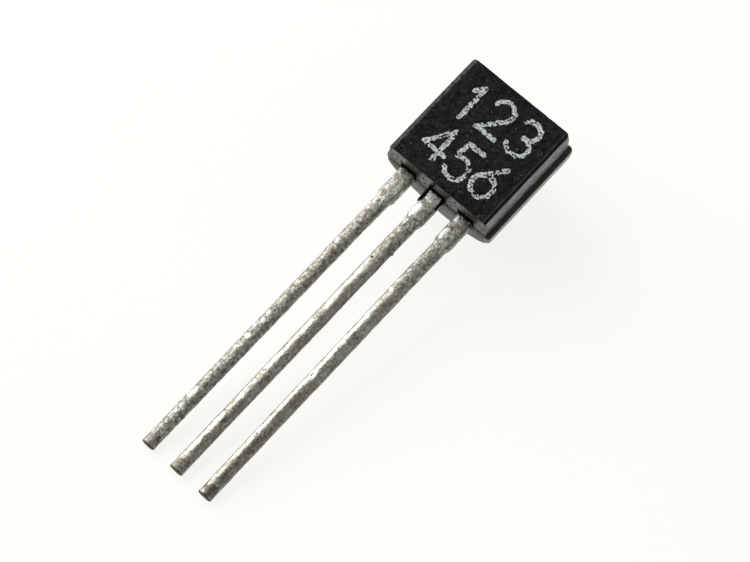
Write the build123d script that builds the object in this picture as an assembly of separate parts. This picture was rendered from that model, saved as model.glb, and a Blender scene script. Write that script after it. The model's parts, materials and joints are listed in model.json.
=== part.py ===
from build123d import *
import math
import os

os.makedirs("parts", exist_ok=True)

# A three-lead transistor in a round-backed moulded body, lying flat face up.
# It is modelled upright and then laid down on the heel of its back and its lead tips.
# Upright frame: x runs from lead 1 to lead 3, y from the lead tips up through the body,
# z from the parting plane of the mould (z = 0) out to the flat face.
# y = 0 is the edge of the flat face that the leads come out under.

# Moulded body, in millimetres and degrees
face_width = 4.21
face_height = 4.26
front_depth = 1.05
front_side_draft = 4.6
front_end_draft = 2.0
face_corner_radius_1 = 0.10
face_corner_radius_3 = 0.15
face_bevel_width_1 = 0.14
face_bevel_width_3 = 0.08
face_bevel_depth = 0.05
back_radius = 2.33
back_centre_drop = 0.16
back_end_draft = 8.0
back_edge_radius = 0.14
mould_step = 0.03

# Leads outside the body
lead_pitch = 1.27
lead_length = 12.70
lead_thickness = 0.38
lead_width = 0.52
lead_tip_width = 0.47
lead_edge_radius = 0.17
lead_tip_radius = 0.07
shoulder_width = 0.66
shoulder_edge_radius = 0.11
shoulder_length = 1.14
shoulder_taper = 0.20

# Stamped frame inside the resin, which the leads run into
shoulder_embedded = 0.48
root_height = 1.45
resin_cover = 0.35
frame_gap = 0.28
post_height = 0.95
paddle_width = 1.44
paddle_height = 1.75
lock_notch_radius = 0.13
lock_notch_height = 0.80

# Chip, the film that bonds it down, and its two wires
chip_side = 0.56
chip_thickness = 0.20
bond_film = 0.03
bond_margin = 0.04
pad_inset = 0.15
wire_diameter = 0.05
wire_loop = 0.24
wire_level_run = 0.42
wire_bend_radius = 0.08
ball_diameter = 0.12
ball_height = 0.04
stitch_diameter = 0.11
stitch_height = 0.025
stitch_inset = 0.30

# Thin slivers of resin flash along both edges of the middle lead
flash_reach_1 = 0.42
flash_reach_3 = 0.48
flash_cover = 0.11
flash_tip_cover = 0.04
flash_thickness = 0.025

# How far a cutting shape runs past what it cuts
overrun = 1.0

# Sizes that follow from the ones above
front_side_run = front_depth * math.tan(math.radians(front_side_draft))
front_end_run = front_depth * math.tan(math.radians(front_end_draft))
back_depth = back_centre_drop + back_radius
back_foot = front_end_run + mould_step
back_half_width = math.sqrt(back_radius**2 - back_centre_drop**2)
post_inner = paddle_width / 2 + frame_gap
post_outer = face_width / 2 - resin_cover
post_top = root_height + post_height
paddle_top = root_height + paddle_height
chip_y = root_height + paddle_height / 2
frame_face = lead_thickness / 2
chip_face = frame_face + bond_film + chip_thickness

on_its_base = (Align.CENTER, Align.CENTER, Align.MIN)


def front_half():
    """Shallow block under the flat face, drafted out to the parting plane."""
    middle = face_height / 2
    foot = Rectangle(face_width + 2 * front_side_run, face_height + 2 * front_end_run)
    face = Rectangle(face_width, face_height)
    block = loft([Pos(0, middle, 0) * foot, Pos(0, middle, front_depth) * face])
    for side, radius in ((-1, face_corner_radius_1), (1, face_corner_radius_3)):
        corner = (side * face_width / 2, face_height, front_depth / 2)
        block = fillet(block.edges().sort_by_distance(corner)[0], radius)
    return block


def face_bevel(side, width):
    """Wedge that bevels one side edge of the flat face, down to the bevel's depth there."""
    edge = side * face_width / 2
    wedge = Polygon(
        (edge - side * width, front_depth),
        (edge + side * width, front_depth),
        (edge + side * width, front_depth - 2 * face_bevel_depth),
        align=None,
    )
    return extrude(Plane.XZ * wedge, amount=face_height + overrun, both=True)


def rear_half():
    """Round back on a chord at the parting plane, with both end walls drafted inwards."""
    arc = ThreePointArc((-back_half_width, 0), (0, -back_depth), (back_half_width, 0))
    chord = Line((back_half_width, 0), (-back_half_width, 0))
    round_bar = extrude(Plane.XZ * make_face([arc, chord]), amount=face_height + overrun, both=True)
    back_run = back_depth * math.tan(math.radians(back_end_draft))
    side_view = Polygon(
        (-back_foot, 0),
        (face_height + back_foot, 0),
        (face_height + back_foot - back_run, -back_depth),
        (-back_foot + back_run, -back_depth),
        align=None,
    )
    drafted_ends = extrude(Plane.YZ * side_view, amount=back_half_width + overrun, both=True)
    back = round_bar & drafted_ends
    return fillet(back.edges().filter_by(GeomType.LINE, reverse=True), back_edge_radius)


def resin_flash(side, reach):
    """Sliver of resin that crept out over one edge of the middle lead and thins to its tip."""
    edge = shoulder_width / 2
    sliver = Polygon(
        (side * (edge - flash_cover), back_foot),
        (side * (edge + flash_thickness), back_foot),
        (side * (edge + flash_thickness), -back_foot - reach / 2),
        (side * (edge - flash_tip_cover), -back_foot - reach),
        align=None,
    )
    return extrude(sliver, amount=lead_thickness / 2 + flash_thickness, dir=(0, 0, 1))


def lead_section(x, y, width, edge_radius):
    """Rounded cross-section of a lead, square to its length."""
    across = Plane(origin=(x, y, 0), x_dir=(1, 0, 0), z_dir=(0, -1, 0))
    return across * RectangleRounded(width, lead_thickness, edge_radius)


def free_lead(x):
    """Wide shoulder, short taper, then a slow taper to the rounded tip."""
    sections = [
        lead_section(x, shoulder_embedded, shoulder_width, shoulder_edge_radius),
        lead_section(x, -shoulder_length, shoulder_width, shoulder_edge_radius),
        lead_section(x, -shoulder_length - shoulder_taper, lead_width, lead_edge_radius),
        lead_section(x, -lead_length, lead_tip_width, lead_edge_radius),
    ]
    piece = loft(sections, ruled=True)
    tip_edges = piece.faces().sort_by(Axis.Y)[0].edges()
    return fillet(tip_edges, lead_tip_radius)


def plate(x_low, x_high, y_low, y_high):
    """Flat piece of the stamped frame."""
    sheet = Box(x_high - x_low, y_high - y_low, lead_thickness)
    return Pos((x_low + x_high) / 2, (y_low + y_high) / 2, 0) * sheet


def lead(number):
    """One lead with its notched root, and the bond post or chip paddle that it ends in."""
    x = (number - 2) * lead_pitch
    half = shoulder_width / 2
    root = plate(x - half, x + half, shoulder_embedded, root_height)
    if number == 1:
        end = plate(-post_outer, -post_inner, root_height, post_top)
    elif number == 2:
        end = plate(-paddle_width / 2, paddle_width / 2, root_height, paddle_top)
    else:
        end = plate(post_inner, post_outer, root_height, post_top)
    piece = free_lead(x) + root + end
    notch = Cylinder(lock_notch_radius, lead_thickness + overrun)
    for edge in (x - half, x + half):
        piece = piece - Pos(edge, lock_notch_height, 0) * notch
    return piece


def chip():
    """Silicon die on the paddle of the middle lead."""
    die = Box(chip_side, chip_side, chip_thickness, align=on_its_base)
    return Pos(0, chip_y, frame_face + bond_film) * die


def chip_bond():
    """Thin film that holds the chip on the paddle."""
    side = chip_side + 2 * bond_margin
    return Pos(0, chip_y, frame_face) * Box(side, side, bond_film, align=on_its_base)


def bond_wire(side):
    """Fine wire from a ball on the chip over to a flattened stitch on the bond post."""
    pad = Vector(side * (chip_side / 2 - pad_inset), chip_y, chip_face)
    stitch = Vector(side * (post_inner + post_outer) / 2, post_top - stitch_inset, frame_face)
    level = Vector(stitch.X - pad.X, stitch.Y - pad.Y, 0)
    loop_plane = Plane(origin=pad, x_dir=level, z_dir=level.cross(Vector(0, 0, 1)))
    route = FilletPolyline(
        (0, ball_height / 2),
        (0, ball_height + wire_loop),
        (wire_level_run, ball_height + wire_loop),
        (level.length, stitch.Z - pad.Z + wire_diameter / 2),
        radius=wire_bend_radius,
    )
    path = loop_plane * route
    start = Plane(origin=path @ 0, z_dir=path % 0)
    wire = sweep(start * Circle(wire_diameter / 2), path=path)
    ball = Pos(*pad) * Cylinder(ball_diameter / 2, ball_height, align=on_its_base)
    foot = Pos(*stitch) * Cylinder(stitch_diameter / 2, stitch_height, align=on_its_base)
    return wire + ball + foot


def moulded_body(inserts):
    """Resin body, moulded round everything that it holds."""
    front = front_half() - face_bevel(-1, face_bevel_width_1) - face_bevel(1, face_bevel_width_3)
    body = front + rear_half() + resin_flash(-1, flash_reach_1) + resin_flash(1, flash_reach_3)
    for insert in inserts:
        body = body - insert
    return body


def lying_angle():
    """Tilt at which the heel of the back and the lead tips touch one level surface."""
    lean = math.radians(back_end_draft)
    heel_z = -back_depth + back_edge_radius
    heel_y = -back_foot - heel_z * math.tan(lean) + back_edge_radius / math.cos(lean)
    toe_z = -lead_thickness / 2 + lead_tip_radius
    toe_y = -lead_length + lead_tip_radius
    reach = math.hypot(heel_y - toe_y, toe_z - heel_z)
    slope = math.atan2(toe_z - heel_z, heel_y - toe_y)
    return math.degrees(slope + math.asin((back_edge_radius - lead_tip_radius) / reach))


def laid_down(pieces):
    """All pieces tilted to the lying angle, over the middle of their own footprint."""
    tilted = {name: Rot(lying_angle(), 0, 0) * piece for name, piece in pieces.items()}
    box = Compound(children=list(tilted.values())).bounding_box()
    shift = Pos(-(box.min.X + box.max.X) / 2, -(box.min.Y + box.max.Y) / 2, -box.min.Z)
    return {name: shift * piece for name, piece in tilted.items()}


def build_pieces():
    """Every piece of the transistor by its name, in the upright frame."""
    pieces = {f"lead_{number}": lead(number) for number in (1, 2, 3)}
    pieces["chip"] = chip()
    pieces["chip_bond"] = chip_bond()
    pieces["bond_wire_1"] = bond_wire(-1)
    pieces["bond_wire_3"] = bond_wire(1)
    pieces["body"] = moulded_body(list(pieces.values()))
    return pieces


for name, piece in laid_down(build_pieces()).items():
    export_step(piece.solid(), f"parts/{name}.step")
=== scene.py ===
import json
import math
from functools import reduce

import bmesh
import bpy
import numpy as np
from mathutils import Matrix, Vector, noise


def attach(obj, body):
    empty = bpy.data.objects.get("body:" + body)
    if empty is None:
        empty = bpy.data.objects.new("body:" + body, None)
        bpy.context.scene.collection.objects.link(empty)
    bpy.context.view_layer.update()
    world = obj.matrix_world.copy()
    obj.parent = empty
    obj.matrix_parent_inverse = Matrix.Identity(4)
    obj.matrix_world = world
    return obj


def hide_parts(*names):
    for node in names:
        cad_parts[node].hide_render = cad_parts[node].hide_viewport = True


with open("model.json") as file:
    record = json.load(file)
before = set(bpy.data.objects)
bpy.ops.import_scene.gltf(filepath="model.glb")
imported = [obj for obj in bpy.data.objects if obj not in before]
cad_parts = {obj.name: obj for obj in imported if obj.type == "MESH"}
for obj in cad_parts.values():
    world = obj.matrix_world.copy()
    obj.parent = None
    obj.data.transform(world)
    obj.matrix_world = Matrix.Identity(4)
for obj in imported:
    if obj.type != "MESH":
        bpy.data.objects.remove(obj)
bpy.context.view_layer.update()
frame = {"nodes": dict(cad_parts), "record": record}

MM = 0.001

# Sizes of the part in its own upright frame, in millimetres: x from lead 1 to lead 3,
# y from the lead tips up through the body, z from the mould's parting plane out to the
# flat face. y = 0 is the edge of the flat face that the leads come out under
FACE_HEIGHT = 4.26
FRONT_DEPTH = 1.05
LEAD_PITCH = 1.27
LEAD_LENGTH = 12.70
LEAD_HALF_THICKNESS = 0.19

# Half width of a lead along its free length, from the tip up to the body
LEAD_STATIONS = (-LEAD_LENGTH, -1.34, -1.14, 0.0)
LEAD_HALF_WIDTHS = (0.235, 0.26, 0.33, 0.33)

# The flat face's mount gives how the part lies
FACE_MOUNT = next(m for m in frame["record"]["mounts"] if m["name"] == "flat_face")
NORMAL = Vector(FACE_MOUNT["axis"])
ACROSS = Vector((1, 0, 0))
UPRIGHT = NORMAL.cross(ACROSS)
FACE_MIDDLE = Vector(FACE_MOUNT["pos_m"])
TURN = Matrix((ACROSS, UPRIGHT, NORMAL)).transposed()
ORIGIN = FACE_MIDDLE - TURN @ Vector((0, FACE_HEIGHT / 2, FRONT_DEPTH)) * MM


def to_scene(points):
    """Upright millimetres to metres in the scene."""
    return np.asarray(points) @ np.array(TURN.transposed()) * MM + np.array(ORIGIN)


# Materials

# A ragged patch's edge: how far the noise shifts it, and where it fades in
PATCH_RAGGEDNESS = 2.6
PATCH_EDGE = (2.35, 2.10)


class Nodes:
    """Adds nodes to one material or world, and links them."""

    def __init__(self, owner):
        owner.use_nodes = True
        self.nodes = owner.node_tree.nodes
        self.links = owner.node_tree.links

    def put(self, value, socket):
        """Link a socket, or set it to a number or a plain colour."""
        if isinstance(value, bpy.types.NodeSocket):
            self.links.new(value, socket)
        elif isinstance(value, tuple):
            socket.default_value = (*value, 1)
        else:
            socket.default_value = value

    def upright_place(self):
        """Texture coordinates in upright millimetres."""
        place = self.nodes.new("ShaderNodeTexCoord")
        mapping = self.nodes.new("ShaderNodeMapping")
        back = TURN.transposed()
        mapping.inputs["Scale"].default_value = (1 / MM, 1 / MM, 1 / MM)
        mapping.inputs["Rotation"].default_value = back.to_euler()
        mapping.inputs["Location"].default_value = -(back @ ORIGIN) / MM
        self.links.new(place.outputs["Object"], mapping.inputs["Vector"])
        return mapping.outputs["Vector"]

    def mapped(self, place, scale, location=(0, 0, 0)):
        """A place that is scaled and then moved."""
        mapping = self.nodes.new("ShaderNodeMapping")
        mapping.inputs["Scale"].default_value = scale
        mapping.inputs["Location"].default_value = location
        self.links.new(place, mapping.inputs["Vector"])
        return mapping.outputs["Vector"]

    def noise(self, place, scale, detail=3.0, rough=0.55, stretch=None):
        """Noise texture, its scale given in features per millimetre."""
        texture = self.nodes.new("ShaderNodeTexNoise")
        texture.inputs["Scale"].default_value = scale
        texture.inputs["Detail"].default_value = detail
        texture.inputs["Roughness"].default_value = rough
        if stretch:
            place = self.mapped(place, stretch)
        self.links.new(place, texture.inputs["Vector"])
        return texture.outputs["Fac"]

    def split(self, vector):
        """The X, Y and Z sockets of a vector."""
        node = self.nodes.new("ShaderNodeSeparateXYZ")
        self.links.new(vector, node.inputs[0])
        return node.outputs

    def math(self, operation, first, second=0.0):
        """Math node on two values, each a socket or a number."""
        node = self.nodes.new("ShaderNodeMath")
        node.operation = operation
        self.put(first, node.inputs[0])
        self.put(second, node.inputs[1])
        return node.outputs[0]

    def product(self, *values):
        return reduce(lambda first, second: self.math("MULTIPLY", first, second), values)

    def highest(self, *values):
        return reduce(lambda first, second: self.math("MAXIMUM", first, second), values)

    def fade(self, value, low, high):
        """0 where the value is at low, 1 where it is at high, smooth between them."""
        node = self.nodes.new("ShaderNodeMapRange")
        node.interpolation_type = "SMOOTHSTEP"
        node.inputs["From Min"].default_value = low
        node.inputs["From Max"].default_value = high
        self.links.new(value, node.inputs["Value"])
        return node.outputs["Result"]

    def ramp(self, value, *stops):
        """Colour ramp through (position, colour or grey level) stops."""
        node = self.nodes.new("ShaderNodeValToRGB")
        elements = node.color_ramp.elements
        while len(elements) < len(stops):
            elements.new(0.5)
        for element, (position, colour) in zip(elements, stops):
            if not isinstance(colour, tuple):
                colour = (colour, colour, colour)
            element.position = position
            element.color = (*colour, 1)
        self.links.new(value, node.inputs["Fac"])
        return node.outputs["Color"]

    def mix(self, factor, first, second, kind="MIX"):
        """Mix of two colours, each a socket or a plain colour, by a socket or a number."""
        node = self.nodes.new("ShaderNodeMix")
        node.data_type = "RGBA"
        node.blend_type = kind
        for value, index in ((factor, 0), (first, 6), (second, 7)):
            self.put(value, node.inputs[index])
        return node.outputs[2]

    def bump(self, height, strength, depth, under=None):
        """Bump of a depth in millimetres, over another bump if one is given."""
        node = self.nodes.new("ShaderNodeBump")
        node.inputs["Strength"].default_value = strength
        node.inputs["Distance"].default_value = depth * MM
        self.links.new(height, node.inputs["Height"])
        if under:
            self.links.new(under, node.inputs["Normal"])
        return node.outputs["Normal"]

    def patches(self, place, ragged, spots):
        """For each spot, its share inside a ragged patch of the upright x-y plane, else 0."""
        masks = []
        for x, y, half_width, half_length, share in spots:
            scale = (1 / half_width, 1 / half_length, 0)
            away = self.nodes.new("ShaderNodeVectorMath")
            away.operation = "LENGTH"
            spot = self.mapped(place, scale, (-x / half_width, -y / half_length, 0))
            self.links.new(spot, away.inputs[0])
            shift = self.product(ragged, PATCH_RAGGEDNESS)
            edge = self.math("ADD", away.outputs["Value"], shift)
            masks.append(self.product(self.fade(edge, *PATCH_EDGE), share))
        return masks

    def seen_directly(self):
        """1 to the camera, or in a glossy or clear surface, and 0 in other light."""
        path = self.nodes.new("ShaderNodeLightPath").outputs
        return self.highest(
            path["Is Camera Ray"], path["Is Glossy Ray"], path["Is Transmission Ray"]
        )


def new_material(name):
    """New material, the Nodes that adds to it, and its main shader."""
    material = bpy.data.materials.new(name)
    add = Nodes(material)
    return material, add, add.nodes["Principled BSDF"]


MATT = (0.5, 0.5, 0.5)

# Colours of the epoxy, of what lies on it, and of painted light and shade on it
RESIN_BLACK = (0.0010, 0.0028, 0.0027)
RESIN_GREY = (0.0065, 0.0082, 0.0077)
MOTTLE = (0.019, 0.022, 0.020)
SPECK = (0.085, 0.090, 0.085)
BROWN_DUST = (0.042, 0.035, 0.026)
# Pale tones of painted light on the wall towards lead 3
LIT_WALL_TONES = (
    (0.36, (0.060, 0.058, 0.054)), (0.50, (0.135, 0.131, 0.125)), (0.64, (0.25, 0.246, 0.237)),
)
# Painted highlight on the round back's ledge
LEDGE_HIGHLIGHT = (0.062, 0.060, 0.053)
# Painted light on the round back's side towards lead 3
LIT_FLANK_GREY = (0.20, 0.190, 0.160)
# Painted highlight along the flat face's edge
EDGE_HIGHLIGHT = (0.050, 0.048, 0.044)
# Painted shade in the crease of the face's bevel
BEVEL_SHADE = (0.003, 0.003, 0.0025)
WARM_DUST = (0.060, 0.046, 0.026)
# Painted shade round the leads where they leave the resin
LEAD_RIM_SHADE = (0.002, 0.002, 0.0015)
WARM_GLINT = (1.0, 0.92, 0.80)
RESIN_IOR = 1.53


def moulded_epoxy():
    """Charcoal epoxy pitted by its mould, dusty brown on its walls, painted shade by the leads.
    """
    material, add, shader = new_material("moulded_epoxy")
    # Each mask is a product of fades over the upright x, y and z
    place = add.upright_place()
    x, y, z = add.split(place)
    grain = add.noise(place, 14, 4, 0.7)
    cloud = add.noise(place, 1.6, 5, 0.6)
    colour = add.ramp(cloud, (0.36, RESIN_BLACK), (0.66, RESIN_GREY))
    mottle = add.ramp(add.noise(place, 7, 5, 0.75), (0.42, 0.0), (0.7, 0.8))
    colour = add.mix(mottle, colour, MOTTLE)
    speck = add.ramp(add.noise(place, 11, 2, 0.6), (0.64, 0.0), (0.72, 1.0))
    colour = add.mix(speck, colour, SPECK)

    # Dusty brown film on the walls below the flat face, and painted light on the wall
    # towards lead 3: pale streaky patches that stand for the white floor's reflection
    streak = add.noise(place, 5, 5, 0.7, (0.5, 0.5, 1))
    dust = add.ramp(streak, (0.35, 0.1), (0.7, 1.0))
    below = add.fade(z, FRONT_DEPTH - 0.03, FRONT_DEPTH - 0.12)
    colour = add.mix(add.product(below, dust, 0.9), colour, BROWN_DUST)
    # Painted light: the wall towards lead 3 made pale in streaky patches
    lit_wall = add.product(add.fade(x, 2.10, 2.12), below, add.fade(z, 0.05, 0.35))
    patchy = add.noise(place, 6, 4, 0.7, (1, 0.45, 1.4))
    colour = add.mix(lit_wall, colour, add.ramp(patchy, *LIT_WALL_TONES))

    # Painted highlight on the top of the round back's ledge past that wall, and painted light
    # from the white floor on its side
    ledge_highlight = add.product(add.fade(x, 2.20, 2.23), add.fade(z, 0.06, 0.03), add.fade(z, -0.9, -0.5))
    colour = add.mix(ledge_highlight, colour, LEDGE_HIGHLIGHT)
    lit_flank = add.product(
        add.fade(x, 2.20, 2.25), add.fade(z, -0.02, -0.06), add.fade(z, -0.5, -0.25)
    )
    colour = add.mix(lit_flank, colour, LIT_FLANK_GREY)

    # Painted highlight along the flat face's edge on that side, and painted shade in the crease
    # of its bevel
    edge_highlight = add.product(
        add.fade(x, 1.96, 1.98), add.fade(x, 2.04, 2.02), add.fade(z, 0.9, 1.0),
        add.ramp(add.noise(place, 3, 3), (0.35, 0.3), (0.6, 1.0)),
    )
    colour = add.mix(edge_highlight, colour, EDGE_HIGHLIGHT)
    # Painted shade in the bevel's crease
    edge = add.product(add.fade(x, 2.02, 2.04), add.fade(x, 2.105, 2.07), add.fade(z, 0.9, 0.96))
    colour = add.mix(edge, colour, BEVEL_SHADE)

    # Warmer on the end that the leads come out of, with painted shade round each lead where it
    # leaves the resin
    lead_end = add.fade(y, 0.1, 0.0)
    colour = add.mix(add.product(lead_end, below, 0.5), colour, WARM_DUST)
    # Painted shade on the lead end round each lead
    beside = add.math("PINGPONG", x, LEAD_PITCH / 2)
    rim_shade = add.product(
        add.fade(add.math("ADD", beside, add.product(grain, 0.12)), 0.46, 0.40),
        add.fade(add.math("ABSOLUTE", x), 1.80, 1.72),
        add.fade(add.math("ADD", z, add.product(grain, 0.25)), 1.08, 0.50),
        add.fade(z, -0.45, -0.25),
        add.fade(y, 0.3, 0.1),
    )
    colour = add.mix(rim_shade, colour, LEAD_RIM_SHADE)
    add.put(colour, shader.inputs["Base Color"])

    # Rougher on the round back
    back = add.product(add.fade(z, 0.1, -0.1), add.fade(x, 2.2, 2.0))
    back = add.highest(back, add.fade(z, -0.6, -1.0))
    gloss = add.ramp(grain, (0.3, 0.2), (0.7, 0.34))
    add.put(add.mix(add.product(back, 0.8), gloss, MATT), shader.inputs["Roughness"])

    # Less gleam in streaks of the walls, low on the lead end and in its blotches, in pits of
    # the flat face, and along the bevel towards lead 1
    low = add.product(add.fade(z, 0.75, 0.4), add.fade(z, 0.0, 0.05), add.fade(y, 0.05, 0.0))
    dull = add.mix(low, add.ramp(streak, (0.42, 0.0), (0.54, 0.62)), (0.45, 0.45, 0.45))
    bevel = add.product(add.fade(x, -1.94, -2.02), add.fade(z, 0.9, 0.95), 0.48)
    pitted = add.ramp(add.noise(place, 9, 4, 0.75), (0.38, 0.95), (0.52, 0.30))
    face = add.product(add.fade(z, 0.97, 1.0), pitted)
    foot = add.product(add.fade(z, 0.45, 0.10), add.fade(z, -0.02, 0.02), lead_end, 0.88)
    lower = add.product(add.fade(z, 0.0, -0.05), lead_end, 0.84)
    blotch = add.ramp(add.noise(place, 7, 4, 0.7), (0.49, 0.0), (0.59, 1.0))
    blotched = add.product(blotch, add.highest(lead_end, add.product(lit_wall, 0.85)))
    dull = add.highest(dull, face, foot, lower, bevel, add.product(edge, 0.6), rim_shade, blotched)
    gleam = add.math("SUBTRACT", 0.5, add.product(dull, 0.5))
    add.put(gleam, shader.inputs["Specular IOR Level"])
    tint = add.mix(lead_end, (1.0, 1.0, 1.0), WARM_GLINT)
    add.put(tint, shader.inputs["Specular Tint"])
    shader.inputs["IOR"].default_value = RESIN_IOR
    coarse = add.bump(add.noise(place, 5, 3), 0.3, 0.010)
    add.put(add.bump(grain, 0.5, 0.006, coarse), shader.inputs["Normal"])
    return material


# Colours of the solder-dipped tin, of what lies on it, and of painted shade and glints on it
TIN_TONES = (
    (0.34, (0.22, 0.213, 0.168)), (0.5, (0.60, 0.588, 0.510)), (0.63, (0.90, 0.89, 0.83)),
)
CRUST_TONES = (
    (0.40, (0.095, 0.094, 0.074)), (0.50, (0.235, 0.232, 0.190)), (0.60, (0.55, 0.545, 0.48)),
)
# Bright bare tin, a painted glint where it lies
BARE_TIN_GLINT = (0.85, 0.85, 0.82)
STAIN = (0.37, 0.35, 0.275)
OLIVE_CAST = (0.33, 0.305, 0.225)
PIT = (0.09, 0.085, 0.064)
# Painted shade on the side of a lead facing lead 3
SIDE_SHADE = (0.085, 0.080, 0.064)
RUST = (0.070, 0.055, 0.032)
# Painted shade where a lead meets the resin
RESIN_JOINT_SHADE = (0.025, 0.022, 0.018)
CUT_COPPER = (0.075, 0.055, 0.035)

# Where each lead's grainy crust ends, how far above and below that it thins out, and how
# far from the resin the painted shade where the lead meets it reaches
CRUSTY_TO = {1: -14.0, 2: -3.5, 3: -4.0}
CRUST_FADE = 1.5
JOINT_SHADE_REACH = {1: 0.35, 2: 0.15, 3: 0.6}

# Patches of bare tin on each lead, brightened as painted glints, and its rusty spots:
# (x, y, half width, half length, share)
BARE_GLINT_PATCHES = {
    1: (
        (-1.35, -7.13, 0.07, 0.12, 0.45), (-1.37, -7.84, 0.10, 0.14, 0.5),
        (-1.38, -10.45, 0.11, 0.30, 0.45), (-1.34, -0.75, 0.25, 0.40, 0.2),
    ),
    2: ((-0.19, -0.88, 0.15, 0.33, 1.0), (0.0, -0.28, 0.28, 0.18, 0.4)),
    3: (
        (1.06, -0.88, 0.12, 0.28, 0.5), (1.10, -0.25, 0.20, 0.15, 0.5),
        (1.24, -7.50, 0.045, 0.10, 0.9),
    ),
}
RUSTY_SPOTS = {
    1: ((-1.24, -9.97, 0.07, 0.12, 0.6), (-1.16, -12.30, 0.12, 0.12, 0.4)),
    2: ((-0.147, -3.096, 0.045, 0.07, 1.0), (-0.10, -12.45, 0.12, 0.20, 0.6)),
    3: (
        (1.12, -7.40, 0.035, 0.10, 0.9), (1.30, -12.40, 0.22, 0.25, 0.6),
        (1.38, -10.9, 0.13, 1.4, 0.35),
    ),
}


def dipped_tin(number):
    """Solder-dipped tin of one lead: warm grey, with a dull grainy crust from the body down."""
    material, add, shader = new_material(f"dipped_tin_{number}")
    place = add.upright_place()
    y = add.split(place)["Y"]
    patch = add.noise(place, 1.3, 4, 0.6, (1, 0.5, 1))
    grain = add.noise(place, 11, 5, 0.75, (1, 0.7, 1))
    colour = add.ramp(grain, *TIN_TONES)
    colour = add.mix(add.ramp(patch, (0.5, 0.0), (0.72, 0.5)), colour, STAIN)
    cast = add.ramp(add.noise(place, 2.6, 4, 0.65, (1, 0.6, 1)), (0.47, 0.0), (0.60, 0.75))
    colour = add.mix(cast, colour, OLIVE_CAST)
    pit = add.ramp(add.noise(place, 8, 3, 0.7, (1, 0.5, 1)), (0.32, 0.8), (0.42, 0.0))
    colour = add.mix(pit, colour, PIT)

    # Painted shade on the side facing towards lead 3
    facing = add.split(add.nodes.new("ShaderNodeNewGeometry").outputs["Normal"])["X"]
    side_shade = add.product(add.fade(facing, 0.45, 0.85), add.fade(y, -1.2, -1.5), 0.8)
    colour = add.mix(side_shade, colour, SIDE_SHADE)

    # Dull speckled crust near the body, in flakes further down and at the tip, broken by
    # patches of bare tin that are brightened as painted glints
    bare_glint = add.highest(*add.patches(place, grain, BARE_GLINT_PATCHES[number]))
    crust_end = CRUSTY_TO[number]
    crust = add.fade(y, crust_end - CRUST_FADE, crust_end + CRUST_FADE)
    crust = add.product(crust, add.math("SUBTRACT", 1.0, bare_glint))
    flake = add.noise(place, 3.2, 5, 0.7, (1, 0.7, 1))
    dull = add.product(crust, add.ramp(flake, (0.36, 0.0), (0.47, 1.0)))
    sparse = add.ramp(add.noise(place, 4, 4, 0.7, (1, 0.6, 1)), (0.54, 0.0), (0.60, 0.85))
    tip = add.product(add.fade(y, -11.5, -12.3), 0.75)
    dull = add.highest(dull, sparse, tip)
    speckle = add.ramp(add.noise(place, 9, 4, 0.8), *CRUST_TONES)
    colour = add.mix(add.product(dull, 0.85), colour, speckle)
    colour = add.mix(bare_glint, colour, BARE_TIN_GLINT)

    # Rusty spots, painted shade where the lead meets the resin, and a bare copper end
    for spot in add.patches(place, grain, RUSTY_SPOTS[number]):
        colour = add.mix(spot, colour, RUST)
    # Painted shade at the resin, fading out in blotches down the lead
    near = add.fade(y, -JOINT_SHADE_REACH[number], -0.05)
    blotch = add.noise(place, 12, 3, 0.7)
    joint_shade = add.fade(add.math("ADD", add.product(near, 0.42), blotch), 0.88, 0.94)
    joint_shade = add.highest(joint_shade, add.fade(y, -0.07, -0.03))
    colour = add.mix(joint_shade, colour, RESIN_JOINT_SHADE)
    cut = add.fade(y, -LEAD_LENGTH + 0.10, -LEAD_LENGTH + 0.04)
    colour = add.mix(add.product(cut, 0.9), colour, CUT_COPPER)

    add.put(colour, shader.inputs["Base Color"])
    shader.inputs["Metallic"].default_value = 1.0
    polish = add.ramp(patch, (0.3, 0.20), (0.7, 0.30))
    add.put(add.mix(dull, polish, MATT), shader.inputs["Roughness"])
    coarse = add.bump(add.noise(place, 6, 4, 0.65), 0.5, 0.012)
    fine = add.bump(grain, 0.6, 0.010, coarse)
    crystals = add.product(add.noise(place, 7, 4, 0.7, (1, 0.8, 1)), crust)
    add.put(add.bump(crystals, 1.0, 0.03, fine), shader.inputs["Normal"])
    return material


INK_TONES = (
    (0.30, (0.05, 0.053, 0.057)), (0.42, (0.34, 0.355, 0.365)), (0.57, (0.74, 0.76, 0.78)),
)


def marking_ink():
    """Thin pale grey ink, patchy over the pitted face."""
    material, add, shader = new_material("marking_ink")
    blotch = add.noise(add.upright_place(), 13, 4, 0.75)
    add.put(add.ramp(blotch, *INK_TONES), shader.inputs["Base Color"])
    shader.inputs["Roughness"].default_value = 0.6
    add.put(add.bump(blotch, 0.4, 0.006), shader.inputs["Normal"])
    return material


def sealed_material(name, dark, light, metallic, roughness):
    """Plain finish for a piece sealed in the resin."""
    material, add, shader = new_material(name)
    colour = add.ramp(add.noise(add.upright_place(), 12), (0.35, dark), (0.65, light))
    add.put(colour, shader.inputs["Base Color"])
    shader.inputs["Metallic"].default_value = metallic
    shader.inputs["Roughness"].default_value = roughness
    return material


# How white the floor shows, and how much of its shadow shows
FLOOR_GLOW = 0.845
SHADOW_SHARE = 0.24
GLOW_WHITE = (1.0, 0.995, 0.975)
PAPER_TONES = ((0.35, (0.80, 0.79, 0.775)), (0.65, (0.82, 0.815, 0.80)))


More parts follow.
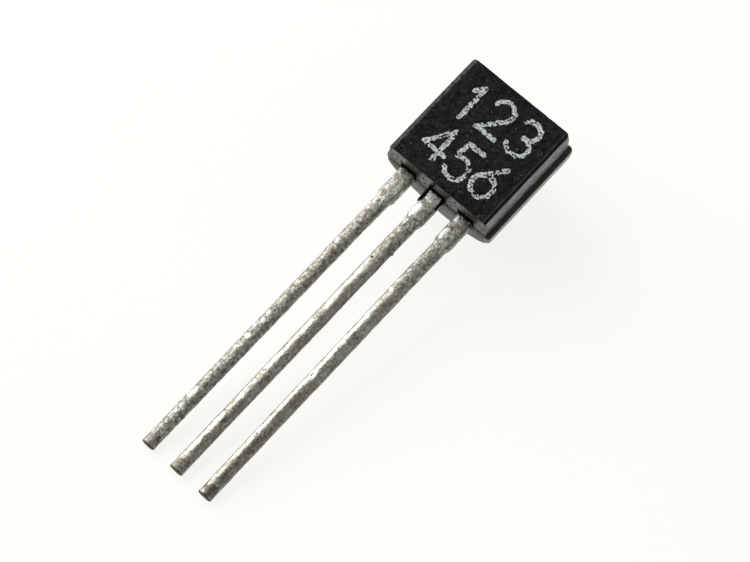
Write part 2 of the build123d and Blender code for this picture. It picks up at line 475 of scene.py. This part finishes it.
def pale_floor():
    """White sheet that keeps a soft shadow and shows white in glossy surfaces."""
    material, add, shader = new_material("white_sheet")
    shader.inputs["Roughness"].default_value = 1.0
    shader.inputs["Specular IOR Level"].default_value = 0.0
    tone = add.noise(add.upright_place(), 0.06, 2)
    add.put(add.ramp(tone, *PAPER_TONES), shader.inputs["Base Color"])
    unlit = add.nodes.new("ShaderNodeEmission")
    unlit.inputs["Strength"].default_value = 0.0
    shadow = add.nodes.new("ShaderNodeMixShader")
    glow = add.nodes.new("ShaderNodeEmission")
    add.put(GLOW_WHITE, glow.inputs["Color"])
    glow.inputs["Strength"].default_value = FLOOR_GLOW
    white = add.nodes.new("ShaderNodeAddShader")
    pick = add.nodes.new("ShaderNodeMixShader")
    wiring = (
        (1 - SHADOW_SHARE, shadow.inputs[0]),
        (shader.outputs[0], shadow.inputs[1]),
        (unlit.outputs[0], shadow.inputs[2]),
        (shadow.outputs[0], white.inputs[0]),
        (glow.outputs[0], white.inputs[1]),
        (add.seen_directly(), pick.inputs[0]),
        (shader.outputs[0], pick.inputs[1]),
        (white.outputs[0], pick.inputs[2]),
        (pick.outputs[0], add.nodes["Material Output"].inputs["Surface"]),
    )
    for value, socket in wiring:
        add.put(value, socket)
    return material


# Pieces

def add_piece(name, mesh, material):
    """New object that rides on the part's one body."""
    piece = bpy.data.objects.new(name, mesh)
    bpy.context.scene.collection.objects.link(piece)
    mesh.materials.clear()
    mesh.materials.append(material)
    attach(piece, "root")
    return piece


def modified(mesh, name, kind, **settings):
    """Copy of a mesh with one modifier applied."""
    holder = bpy.data.objects.new(name, mesh)
    bpy.context.scene.collection.objects.link(holder)
    modifier = holder.modifiers.new(name, kind)
    for key, value in settings.items():
        setattr(modifier, key, value)
    shown = holder.evaluated_get(bpy.context.evaluated_depsgraph_get())
    result = bpy.data.meshes.new_from_object(shown)
    bpy.data.objects.remove(holder)
    return result


def coordinates(mesh, attribute="co"):
    """Positions or normals of a mesh's points, one row each."""
    values = np.zeros(len(mesh.vertices) * 3, np.float32)
    mesh.vertices.foreach_get(attribute, values)
    return values.reshape(-1, 3).astype(float)


def move_points(mesh, points):
    """Give the mesh its new points."""
    mesh.vertices.foreach_set("co", points.astype(np.float32).ravel())
    mesh.update()


def lay_down(mesh, points):
    """Give the mesh its new upright points where the part lies, on or above the floor."""
    placed = to_scene(points)
    placed[:, 2] = np.maximum(placed[:, 2], 0)
    move_points(mesh, placed)


def skin_of(node, **cells):
    """Even, closed mesh of a CAD node, in upright millimetres."""
    mesh = frame["nodes"][node].data.copy()
    place = Matrix.Translation(ORIGIN) @ TURN.to_4x4() @ Matrix.Scale(MM, 4)
    mesh.transform(place.inverted())
    return modified(mesh, node, "REMESH", use_smooth_shade=True, **cells)


def step(value, low, high):
    """Smooth step from 0 at low to 1 at high."""
    t = np.clip((value - low) / (high - low), 0, 1)
    return t * t * (3 - 2 * t)


def lumps(points, seed, *layers):
    """Smooth noise at each point: (features per mm, height in mm) layers."""
    heights = np.zeros(len(points))
    for i, (x, y, z) in enumerate(points):
        for scale, height in layers:
            heights[i] += height * noise.noise(Vector((x * scale + seed, y * scale, z * scale)))
    return heights


def marks(points, spots):
    """Bumps and dents: (place, reach, height) in upright millimetres."""
    heights = np.zeros(len(points))
    for place, reach, height in spots:
        away = np.linalg.norm(points - np.array(place), axis=1)
        heights += height * np.exp(-((away / reach) ** 2))
    return heights


# Size of a lead's mesh cells, the solder's thickness, and how square the leads' section is:
# 2 is an ellipse
LEAD_VOXEL = 0.032
SOLDER = 0.005
SHOULDER_POWER = 5.0
LEFT_SHOULDER_POWER = 2.8
SHANK_POWER = 2.2

# Distances below the face's edge over which a lead comes clear of the resin, and over which
# its shoulder's section turns into that of its free length
CLEAR_OF_RESIN = (0.05, 0.25)
BELOW_SHOULDER = (1.1, 2.5)
# How far a point's normal leans along the lead, from its sides to its end
FROM_SIDE_TO_END = (0.3, 0.8)

# Bumps and nicks of each lead: (upright place, reach, height)
LEAD_MARKS = {
    1: (((-1.45, -2.95, 0.1), 0.08, 0.03), ((-1.5, -12.65, 0.1), 0.08, 0.02)),
    2: (((0.25, -2.55, 0.02), 0.06, 0.05), ((-0.2, -12.65, 0.1), 0.08, 0.02)),
    3: (((1.12, -7.35, 0.19), 0.08, -0.04), ((1.05, -12.65, 0.1), 0.08, 0.02)),
}
# The tin's faint waves and its finer lumps, each (features per mm, height), and how lumpy
# each lead is
TIN_WAVES = (2.5, 0.010)
TIN_LUMPS = ((7, 0.005), (17, 0.003))
LUMPINESS = {1: 1.6, 2: 1.0, 3: 1.0}
LEAD_SEED = 7.3
# The slope that each free length is twisted to
TWIST = {1: 0.0, 2: 0.0, 3: -0.09}
# How much thicker the solder lies along the left edge of each free length
LEFT_BEAD = {1: 0.006, 2: 0.030, 3: 0.032}


def dipped_lead(number, material):
    """One lead in its coat of solder, which rounds its section to a lens outside the resin."""
    node = f"lead_{number}"
    mesh = skin_of(node, mode="VOXEL", voxel_size=LEAD_VOXEL)
    points = coordinates(mesh)
    normals = coordinates(mesh, "normal")
    middle = (number - 2) * LEAD_PITCH
    outside = step(-points[:, 1], *CLEAR_OF_RESIN)
    below_shoulder = step(-points[:, 1], *BELOW_SHOULDER)
    side = 1 - step(np.abs(normals[:, 1]), *FROM_SIDE_TO_END)
    half = np.interp(points[:, 1], LEAD_STATIONS, LEAD_HALF_WIDTHS) + SOLDER
    shoulder = np.where(points[:, 0] < middle, LEFT_SHOULDER_POWER, SHOULDER_POWER)
    power = shoulder + (SHANK_POWER - shoulder) * below_shoulder
    across = np.abs(points[:, 0] - middle) / half
    deep = np.abs(points[:, 2]) / (LEAD_HALF_THICKNESS + SOLDER)
    grow = (across**power + deep**power) ** (-1 / power) - 1
    grow *= outside * side
    points[:, 0] += (points[:, 0] - middle) * grow
    points[:, 2] += points[:, 2] * grow
    points[:, 2] += (points[:, 0] - middle) * TWIST[number] * below_shoulder
    leftness = np.clip((middle - points[:, 0]) / half, 0, 1)
    points[:, 0] -= LEFT_BEAD[number] * leftness * below_shoulder
    fine = [(scale, height * LUMPINESS[number]) for scale, height in TIN_LUMPS]
    heights = lumps(points, LEAD_SEED * number, TIN_WAVES, *fine)
    heights += marks(points, LEAD_MARKS[number])
    points += normals * (heights * outside)[:, None]
    lay_down(mesh, points)
    piece = add_piece(f"tinned_{node}", mesh, material)
    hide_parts(node)


# Points of the body's skin nearer than FOLD are one point, and an island of fewer faces
# than ISLAND_FACES is a scrap of a fold. A hole left by one has HOLE_SIDES sides at most
FOLD = 0.008
ISLAND_FACES = 1000
HOLE_SIDES = 8


def loose_islands(folded):
    """Faces of the small islands that hang on to the rest by a shared edge or not at all."""
    loose, seen = [], set()
    for start in folded.faces:
        if start in seen:
            continue
        island, queue = [], [start]
        seen.add(start)
        while queue:
            face = queue.pop()
            island.append(face)
            for edge in face.edges:
                if len(edge.link_faces) == 2:
                    for near in edge.link_faces:
                        if near not in seen:
                            seen.add(near)
                            queue.append(near)
        if len(island) < ISLAND_FACES:
            loose += island
    return loose


def drop_folds(mesh):
    """Merge and close what the mesh's points fold to nothing."""
    folded = bmesh.new()
    folded.from_mesh(mesh)
    bmesh.ops.remove_doubles(folded, verts=folded.verts, dist=FOLD)
    bmesh.ops.dissolve_degenerate(folded, edges=folded.edges, dist=FOLD / 4)
    bmesh.ops.triangulate(folded, faces=folded.faces)
    bmesh.ops.delete(folded, geom=loose_islands(folded), context="FACES")
    rims = [edge for edge in folded.edges if edge.is_boundary]
    bmesh.ops.holes_fill(folded, edges=rims, sides=HOLE_SIDES)
    folded.to_mesh(mesh)
    folded.free()
    mesh.update()


# Where the walls that the leads come out of stand at the mould's parting plane. What stands
# out past them by more than the margin is the source's straight slivers of flash
FRONT_FOOT = -0.037
BACK_FOOT = -0.067
SLIVER_MARGIN = 0.02

# Worn corners and nicked edges of the body: (upright place, reach, height)
BODY_MARKS = (
    ((2.14, 4.30, 0.70), 0.28, 0.035), ((-2.10, 4.26, 1.05), 0.08, -0.01),
    ((2.10, 0.00, 1.05), 0.08, -0.01), ((-2.10, 0.00, 1.05), 0.08, -0.01),
    ((-2.33, -0.05, 0.0), 0.16, -0.05), ((-2.33, 0.02, -0.2), 0.16, -0.05),
    ((1.66, 0.02, 1.04), 0.09, -0.03), ((2.31, 4.30, 0.0), 0.12, -0.01),
    ((1.20, 4.26, 1.05), 0.08, -0.012), ((-0.60, 0.00, 1.05), 0.08, -0.015),
)
# How far the skin stands out from the CAD faces, and its waves: (features per mm, height)
SKIN_LIFT = 0.004
SKIN_WAVES = ((1.2, 0.006), (6, 0.0025))
SKIN_SEED = 3.1


def face_waves(points):
    """Faint unevenness of the moulded surfaces."""
    return SKIN_LIFT + lumps(points, SKIN_SEED, *SKIN_WAVES)


def worn_body(material):
    """The moulded body with softened edges, faint waves and worn corners."""
    mesh = skin_of("body", mode="SHARP", octree_depth=7, scale=0.95, threshold=0.01)
    mesh = modified(mesh, "soft_body", "SMOOTH", factor=0.5, iterations=1)
    points = coordinates(mesh)
    front = FRONT_FOOT * (1 - points[:, 2] / FRONT_DEPTH)
    foot = np.where(points[:, 2] > 0, front, BACK_FOOT)
    points[:, 1] = np.where(points[:, 1] < foot - SLIVER_MARGIN, foot, points[:, 1])
    move_points(mesh, points)
    drop_folds(mesh)
    points = coordinates(mesh)
    heights = face_waves(points) + marks(points, BODY_MARKS)
    points += coordinates(mesh, "normal") * heights[:, None]
    lay_down(mesh, points)
    piece = add_piece("moulded_skin", mesh, material)
    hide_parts("body")


# Resin that crept out along lead 2: (x of its spine, reach, half width at the wall and at
# the tip)
FLASHES = {
    "resin_flash_1": (-0.350, 0.61, 0.070, 0.056),
    "resin_flash_3": (0.300, 0.54, 0.095, 0.025),
}
# Its rings and the points round each, how far inside the wall it starts, the height of its
# middle, its half thickness, the share of that which is gone at the tip, how blunt the tip
# is and how small it may get, and how far its spine wanders and its width varies, each with
# its features per mm
FLASH_STATIONS = 26
FLASH_CORNERS = 14
FLASH_START = 0.03
FLASH_MIDDLE = 0.125
FLASH_HALF_THICKNESS = 0.085
FLASH_THINNING = 0.3
FLASH_BLUNTNESS = 6
FLASH_TIP_SHARE = 0.05
FLASH_WANDER, WANDER_SCALE = 0.014, 9
FLASH_RAGGEDNESS, RAGGED_SCALE = 0.35, 14


def flash_ring(spine, reach, root, tip, t):
    """One ring of a tongue of flash, at t from 0 in the wall to 1 at its tip."""
    y = FLASH_START - (reach + FLASH_START) * t
    place = Vector((spine * WANDER_SCALE, y * WANDER_SCALE, 0))
    x = spine + FLASH_WANDER * noise.noise(place)
    ragged = 1 + FLASH_RAGGEDNESS * noise.noise(Vector((spine, y * RAGGED_SCALE, 3)))
    rounded = math.sqrt(max(1 - t**FLASH_BLUNTNESS, FLASH_TIP_SHARE))
    half = (root + (tip - root) * t) * rounded * ragged
    ring = []
    for k in range(FLASH_CORNERS):
        turn = 2 * math.pi * k / FLASH_CORNERS
        up = FLASH_HALF_THICKNESS * math.sin(turn) * (1 - FLASH_THINNING * t) * min(half / tip, 1)
        ring.append((x + half * math.cos(turn), y, FLASH_MIDDLE + up))
    return ring


def resin_flash(name, shape, material):
    """Ragged black tongue of resin over one edge of the middle lead."""
    points, faces = [], []
    for i in range(FLASH_STATIONS + 1):
        points += flash_ring(*shape, i / FLASH_STATIONS)
    for i in range(FLASH_STATIONS):
        for k in range(FLASH_CORNERS):
            a, b = i * FLASH_CORNERS + k, i * FLASH_CORNERS + (k + 1) % FLASH_CORNERS
            faces.append((a, b, b + FLASH_CORNERS, a + FLASH_CORNERS))
    last = FLASH_STATIONS * FLASH_CORNERS
    faces.append(tuple(range(FLASH_CORNERS - 1, -1, -1)))
    faces.append(tuple(range(last, last + FLASH_CORNERS)))
    mesh = bpy.data.meshes.new(name)
    mesh.from_pydata(to_scene(points).tolist(), [], faces)
    mesh.shade_smooth()
    mesh.update()
    add_piece(name, mesh, material)


def arc(cx, cy, rx, ry, start, end, count=14):
    """Points along an arc of an ellipse, between two angles in degrees."""
    angles = np.radians(np.linspace(start, end, count))
    return [(cx + rx * math.cos(a), cy + ry * math.sin(a)) for a in angles]


# Strokes of the counting digits, each a run of points in a cell 1 high
DIGITS = {
    "1": [[(0.14, 0.78), (0.32, 1.0), (0.32, 0.0)]],
    "2": [arc(0.3, 0.72, 0.28, 0.28, 165, -35) + [(0.02, 0.0), (0.6, 0.0)]],
    "3": [arc(0.28, 0.75, 0.26, 0.25, 150, -90), arc(0.28, 0.26, 0.3, 0.26, 90, -155)],
    "4": [[(0.46, 0.0), (0.46, 1.0), (0.0, 0.3), (0.64, 0.3)]],
    "5": [[(0.56, 1.0), (0.12, 1.0), (0.06, 0.56)] + arc(0.28, 0.31, 0.3, 0.31, 125, -150)],
    "6": [[(0.5, 1.0), (0.2, 0.62)] + arc(0.3, 0.3, 0.29, 0.3, 150, 510, 26)],
}
CELL_WIDTH = 0.66

# Each digit and the place of its cell's lower left corner on the flat face
MARKING = (
    ("1", -1.50, 2.30), ("2", -0.48, 2.43), ("3", 0.68, 2.45),
    ("4", -1.38, 0.49), ("5", -0.30, 0.44), ("6", 0.72, 0.54),
)
DIGIT_HEIGHT = 1.36
STROKE = 0.16
INK_CELL = 0.017
INK_THICKNESS = 0.004
# How ragged a stroke's edge is, the noise below which its ink is worn through at the edge,
# what is added to that in the middle, and the fewest cells that aren't dropped as a speck
INK_RAGGEDNESS = 0.05
WORN_BELOW = -0.42
WORN_MORE_INSIDE = 0.30
SPECK_CELLS = 10
# Features per mm of that raggedness, and of the fine and the broad wear
RAGGED_INK, FINE_WEAR, BROAD_WEAR = 9, 16, 5


def tidy_film(inked):
    """Ink with its loose specks dropped, and with cells that touch only at a corner joined."""
    inked = inked.copy()
    seen = np.zeros_like(inked)
    for start in np.argwhere(inked):
        if seen[tuple(start)]:
            continue
        island, queue = [], [tuple(start)]
        seen[tuple(start)] = True
        while queue:
            j, i = queue.pop()
            island.append((j, i))
            for near in ((j - 1, i), (j + 1, i), (j, i - 1), (j, i + 1)):
                inside = 0 <= near[0] < inked.shape[0] and 0 <= near[1] < inked.shape[1]
                if inside and inked[near] and not seen[near]:
                    seen[near] = True
                    queue.append(near)
        if len(island) < SPECK_CELLS:
            inked[tuple(np.transpose(island))] = False
    while True:
        a, b, c, d = inked[:-1, :-1], inked[:-1, 1:], inked[1:, :-1], inked[1:, 1:]
        falling, rising = a & d & ~b & ~c, b & c & ~a & ~d
        if not (falling.any() or rising.any()):
            return inked
        inked[:-1, 1:] |= falling
        inked[:-1, :-1] |= rising


def inked_cells(digit, index, xs, ys):
    """Which cells of a digit's grid hold ink, worn through in spots."""
    gx, gy = np.meshgrid(xs, ys)
    away = np.full(gx.shape, np.inf)
    for stroke in DIGITS[digit]:
        points = np.array(stroke) * DIGIT_HEIGHT
        for a, b in zip(points[:-1], points[1:]):
            run = b - a
            t = np.clip(((gx - a[0]) * run[0] + (gy - a[1]) * run[1]) / (run @ run), 0, 1)
            away = np.minimum(away, np.hypot(gx - a[0] - t * run[0], gy - a[1] - t * run[1]))
    ragged = np.empty(gx.shape)
    worn = np.empty(gx.shape)
    for k in np.ndindex(gx.shape):
        at = Vector((gx[k], gy[k], 3.1 * index))
        ragged[k] = noise.noise(at * RAGGED_INK)
        fine = noise.noise(at * FINE_WEAR + Vector((5, 2, 0)))
        worn[k] = fine + 0.5 * noise.noise(at * BROAD_WEAR)
    inside = np.clip(1 - away / (STROKE / 2), 0, 1)
    covered = away < STROKE / 2 + INK_RAGGEDNESS * ragged
    return tidy_film(covered & (worn > WORN_BELOW + WORN_MORE_INSIDE * inside))


def digit_piece(digit, left, low, index, material):
    """One printed digit: a thin ragged closed film of ink on the flat face."""
    xs = np.arange(-STROKE, CELL_WIDTH * DIGIT_HEIGHT + STROKE, INK_CELL)
    ys = np.arange(-STROKE, DIGIT_HEIGHT + STROKE, INK_CELL)
    inked = inked_cells(digit, index, xs, ys)
    corners, faces, index_of = [], [], {}

    def corner(i, j, z):
        key = (i, j, z)
        if key not in index_of:
            index_of[key] = len(corners)
            x, y = left + xs[0] + (i - 0.5) * INK_CELL, low + ys[0] + (j - 0.5) * INK_CELL
            corners.append((x, y, FRONT_DEPTH + z))
        return index_of[key]

    top = INK_THICKNESS
    for j, i in np.argwhere(inked):
        square = [(i, j), (i + 1, j), (i + 1, j + 1), (i, j + 1)]
        faces.append([corner(a, b, top) for a, b in square])
        faces.append([corner(a, b, 0.0) for a, b in reversed(square)])
        for n, (di, dj) in enumerate(((0, -1), (1, 0), (0, 1), (-1, 0))):
            oj, oi = j + dj, i + di
            if not (0 <= oj < inked.shape[0] and 0 <= oi < inked.shape[1] and inked[oj, oi]):
                a, b = square[n], square[(n + 1) % 4]
                faces.append([corner(*b, top), corner(*a, top), corner(*a, 0.0), corner(*b, 0.0)])
    mesh = bpy.data.meshes.new(f"printed_digit_{digit}")
    corners = np.array(corners)
    corners[:, 2] += face_waves(corners)
    mesh.from_pydata(to_scene(corners).tolist(), [], faces)
    mesh.update()
    add_piece(f"printed_digit_{digit}", mesh, material)


# Dress the part
EPOXY = moulded_epoxy()
INK = marking_ink()
GOLD = sealed_material("gold_wire", (0.75, 0.5, 0.18), (0.9, 0.66, 0.28), 1.0, 0.3)
SEALED = {
    "chip": sealed_material("silicon", (0.2, 0.21, 0.24), (0.32, 0.33, 0.36), 0.6, 0.2),
    "chip_bond": sealed_material("silver_epoxy", (0.5, 0.5, 0.48), (0.68, 0.68, 0.66), 0.5, 0.5),
    "bond_wire_1": GOLD,
    "bond_wire_3": GOLD,
}

for node, material in SEALED.items():
    mesh = frame["nodes"][node].data
    mesh.materials.clear()
    mesh.materials.append(material)
worn_body(EPOXY)
for name, shape in FLASHES.items():
    resin_flash(name, shape, EPOXY)
for number in (1, 2, 3):
    dipped_lead(number, dipped_tin(number))
for index, (digit, left, low) in enumerate(MARKING):
    digit_piece(digit, left, low, index, INK)

# Floor, its half side in metres
FLOOR_HALF = 1.5
floor_signs = ((-1, -1), (1, -1), (1, 1), (-1, 1))
floor_corners = [(x * FLOOR_HALF, y * FLOOR_HALF, 0) for x, y in floor_signs]
floor_mesh = bpy.data.meshes.new("floor")
floor_mesh.from_pydata(floor_corners, [], [(0, 1, 2, 3)])
floor_mesh.materials.append(pale_floor())
floor = bpy.data.objects.new("floor", floor_mesh)
bpy.context.scene.collection.objects.link(floor)

# World: a dim room, darkest overhead and dimmer towards +x, plain white where the camera
# sees it. The levels go by the height and by the side that light comes from
LEVELS_BY_HEIGHT = ((0.0, 0.75), (0.35, 0.52), (0.7, 0.31), (1.0, 0.24))
LEVELS_BY_SIDE = ((0.0, 1.0), (0.75, 1.0), (1.0, 0.85))
world = bpy.data.worlds.new("studio")
bpy.context.scene.world = world
add = Nodes(world)
direction = add.split(add.nodes.new("ShaderNodeTexCoord").outputs["Generated"])
by_height = add.ramp(direction["Z"], *LEVELS_BY_HEIGHT)
across = add.nodes.new("ShaderNodeMapRange")
across.inputs["From Min"].default_value = -1.0
add.put(direction["X"], across.inputs["Value"])
by_side = add.ramp(across.outputs["Result"], *LEVELS_BY_SIDE)
sky = add.mix(1.0, by_height, by_side, "MULTIPLY")
to_camera = add.nodes.new("ShaderNodeLightPath").outputs["Is Camera Ray"]
background = add.nodes["Background"]
add.put(add.mix(to_camera, sky, (1.0, 1.0, 1.0)), background.inputs["Color"])
background.inputs["Strength"].default_value = 1.0

# Key light, aimed at the part: its place and size in millimetres, and its power in watts
KEY_PLACE = (-129, 0, 76)
KEY_SIZE = 172
KEY_POWER = 0.27
key_light = bpy.data.lights.new("key", "AREA")
key_light.shape = "SQUARE"
key_light.size = KEY_SIZE * MM
key_light.energy = KEY_POWER
key_lamp = bpy.data.objects.new("key", key_light)
key_lamp.location = Vector(KEY_PLACE) * MM
key_lamp.rotation_mode = "QUATERNION"
key_lamp.rotation_quaternion = (Vector() - key_lamp.location).to_track_quat("-Z", "Y")
bpy.context.scene.collection.objects.link(key_lamp)

# Camera, as the photo was taken: its place, right and forward in the part's upright frame,
# and its focal length in pixels of an image this wide
CAMERA_PLACE = Vector((16.320, -18.590, 66.112))
CAMERA_RIGHT = Vector((0.74040, 0.67168, -0.02557))
CAMERA_FORWARD = Vector((-0.22787, 0.21503, -0.94965))
FOCAL_PIXELS = 2100.2
IMAGE_WIDTH = 750
SENSOR_WIDTH = 36
camera_data = bpy.data.cameras.new("camera")
camera_data.sensor_width = SENSOR_WIDTH
camera_data.lens = SENSOR_WIDTH / (IMAGE_WIDTH / FOCAL_PIXELS)
camera_data.clip_start = 0.005
camera_data.clip_end = 10
camera = bpy.data.objects.new("camera", camera_data)
right = (TURN @ CAMERA_RIGHT).normalized()
forward = TURN @ CAMERA_FORWARD
forward = (forward - right * forward.dot(right)).normalized()
axes = Matrix((right, right.cross(forward), -forward)).transposed()
camera.matrix_world = Matrix.Translation(ORIGIN + TURN @ CAMERA_PLACE * MM) @ axes.to_4x4()
bpy.context.scene.collection.objects.link(camera)
bpy.context.scene.camera = camera
bpy.context.scene.view_settings.view_transform = "Standard"
